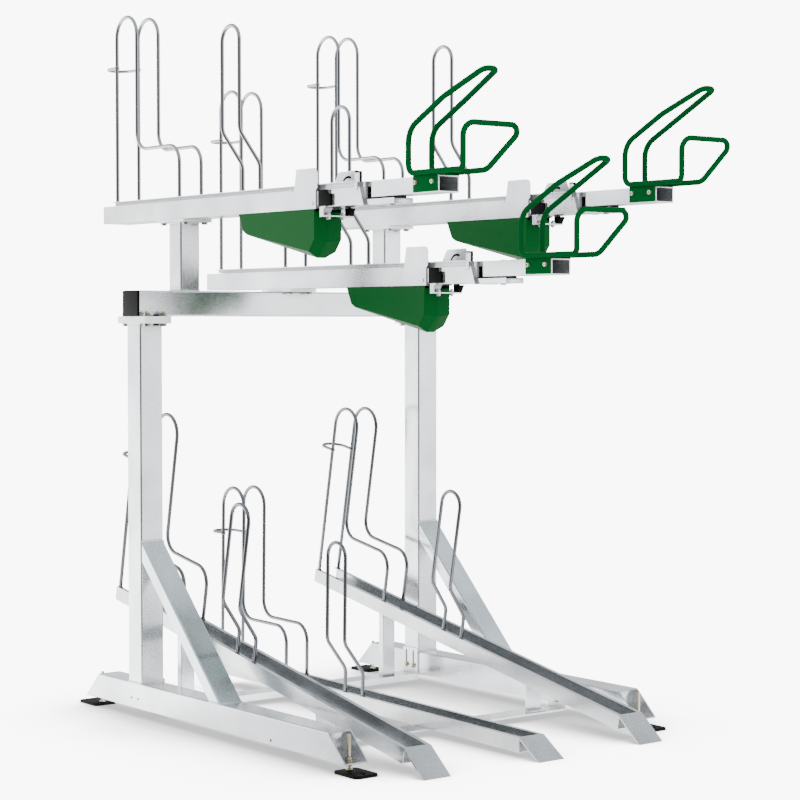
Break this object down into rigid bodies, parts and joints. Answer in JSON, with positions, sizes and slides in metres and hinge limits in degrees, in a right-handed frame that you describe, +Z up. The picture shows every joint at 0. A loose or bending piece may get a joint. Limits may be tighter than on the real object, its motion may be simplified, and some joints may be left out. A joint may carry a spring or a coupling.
{
  "type": "two tier bike rack",
  "caption": "Two tier bicycle rack: galvanised portal frame, sloped lower channels and sliding, tilting upper trays with wheel hoops, lock loops and green handles.",
  "frame": {"origin": "on the ground at the centre of the whole rack's plan, handles and rear stop hooks included", "axes": "+X along the row of trays, -Y to the front where the handles are, +Z up"},
  "size_m": [1.196, 1.941, 2.224],
  "materials": {
    "galvanised_steel": "hot dip galvanised, matt with a fine spangle",
    "bright_steel": "bright zinc, softly polished",
    "green_paint": "green powder coat, satin",
    "black_rubber": "matt black rubber",
    "black_plastic": "matt black",
    "black_paint": "black enamel",
    "zinc_fasteners": "yellow passivated zinc"
  },
  "bodies": {
    "frame": {"foot_beam_near": "galvanised_steel", "foot_beam_far": "galvanised_steel", "foot_plates": "black_rubber", "level_spindles": "zinc_fasteners", "post_near": "galvanised_steel", "post_far": "galvanised_steel", "brace_near": "galvanised_steel", "brace_far": "galvanised_steel", "crossbeam": "galvanised_steel", "end_caps": "black_plastic", "stub_near": "galvanised_steel", "stub_far": "galvanised_steel", "middle_seat": "galvanised_steel", "frame_bolts": "zinc_fasteners", "rear_cross_rail": "galvanised_steel", "front_cross_strip": "galvanised_steel", "rear_uprights": "galvanised_steel", "front_supports": "galvanised_steel", "low_tray_1": "galvanised_steel", "low_tray_2": "galvanised_steel", "low_tray_3": "galvanised_steel", "low_rods_1": "bright_steel", "low_rods_2": "bright_steel", "low_rods_3": "bright_steel", "rail_1": "galvanised_steel", "rail_2": "galvanised_steel", "rail_3": "galvanised_steel", "cover_1": "green_paint", "cover_2": "green_paint", "cover_3": "green_paint", "strut_tube_1": "black_paint", "strut_tube_2": "black_paint", "strut_tube_3": "black_paint"},
    "head_body_1": {"head_1": "galvanised_steel", "bumper_1": "black_rubber"},
    "tray_body_1": {"tray_1": "galvanised_steel", "rods_1": "bright_steel", "arm_1": "galvanised_steel", "pads_1": "black_rubber", "handle_1": "green_paint"},
    "strut_body_1": {"strut_rod_1": "bright_steel"},
    "head_body_2": {"head_2": "galvanised_steel", "bumper_2": "black_rubber"},
    "tray_body_2": {"tray_2": "galvanised_steel", "rods_2": "bright_steel", "arm_2": "galvanised_steel", "pads_2": "black_rubber", "handle_2": "green_paint"},
    "strut_body_2": {"strut_rod_2": "bright_steel"},
    "head_body_3": {"head_3": "galvanised_steel", "bumper_3": "black_rubber"},
    "tray_body_3": {"tray_3": "galvanised_steel", "rods_3": "bright_steel", "arm_3": "galvanised_steel", "pads_3": "black_rubber", "handle_3": "green_paint"},
    "strut_body_3": {"strut_rod_3": "bright_steel"}
  },
  "joints": [
    {"name": "tilt_1", "type": "hinge", "parent": "frame", "child": "head_body_1", "pos_m": [-0.4, -0.2305, 1.572], "axis": [1, 0, 0], "range_deg": [0, 25]},
    {"name": "slide_1", "type": "slide", "parent": "head_body_1", "child": "tray_body_1", "axis": [0, -1, 0], "range_m": [0, 1.04]},
    {"name": "strut_1", "type": "slide", "parent": "frame", "child": "strut_body_1", "axis": [0, 1, 0], "range_m": [0, 0.0308]},
    {"name": "tilt_2", "type": "hinge", "parent": "frame", "child": "head_body_2", "pos_m": [0, -0.2305, 1.358], "axis": [1, 0, 0], "range_deg": [0, 25]},
    {"name": "slide_2", "type": "slide", "parent": "head_body_2", "child": "tray_body_2", "axis": [0, -1, 0], "range_m": [0, 1.04]},
    {"name": "strut_2", "type": "slide", "parent": "frame", "child": "strut_body_2", "axis": [0, 1, 0], "range_m": [0, 0.0308]},
    {"name": "tilt_3", "type": "hinge", "parent": "frame", "child": "head_body_3", "pos_m": [0.4, -0.2305, 1.572], "axis": [1, 0, 0], "range_deg": [0, 25]},
    {"name": "slide_3", "type": "slide", "parent": "head_body_3", "child": "tray_body_3", "axis": [0, -1, 0], "range_m": [0, 1.04]},
    {"name": "strut_3", "type": "slide", "parent": "frame", "child": "strut_body_3", "axis": [0, 1, 0], "range_m": [0, 0.0308]}
  ],
  "couplings": [
    {"joint": "strut_1", "follows": "tilt_1", "m_per_rad": 0.0704},
    {"joint": "strut_2", "follows": "tilt_2", "m_per_rad": 0.0704},
    {"joint": "strut_3", "follows": "tilt_3", "m_per_rad": 0.0704}
  ]
}
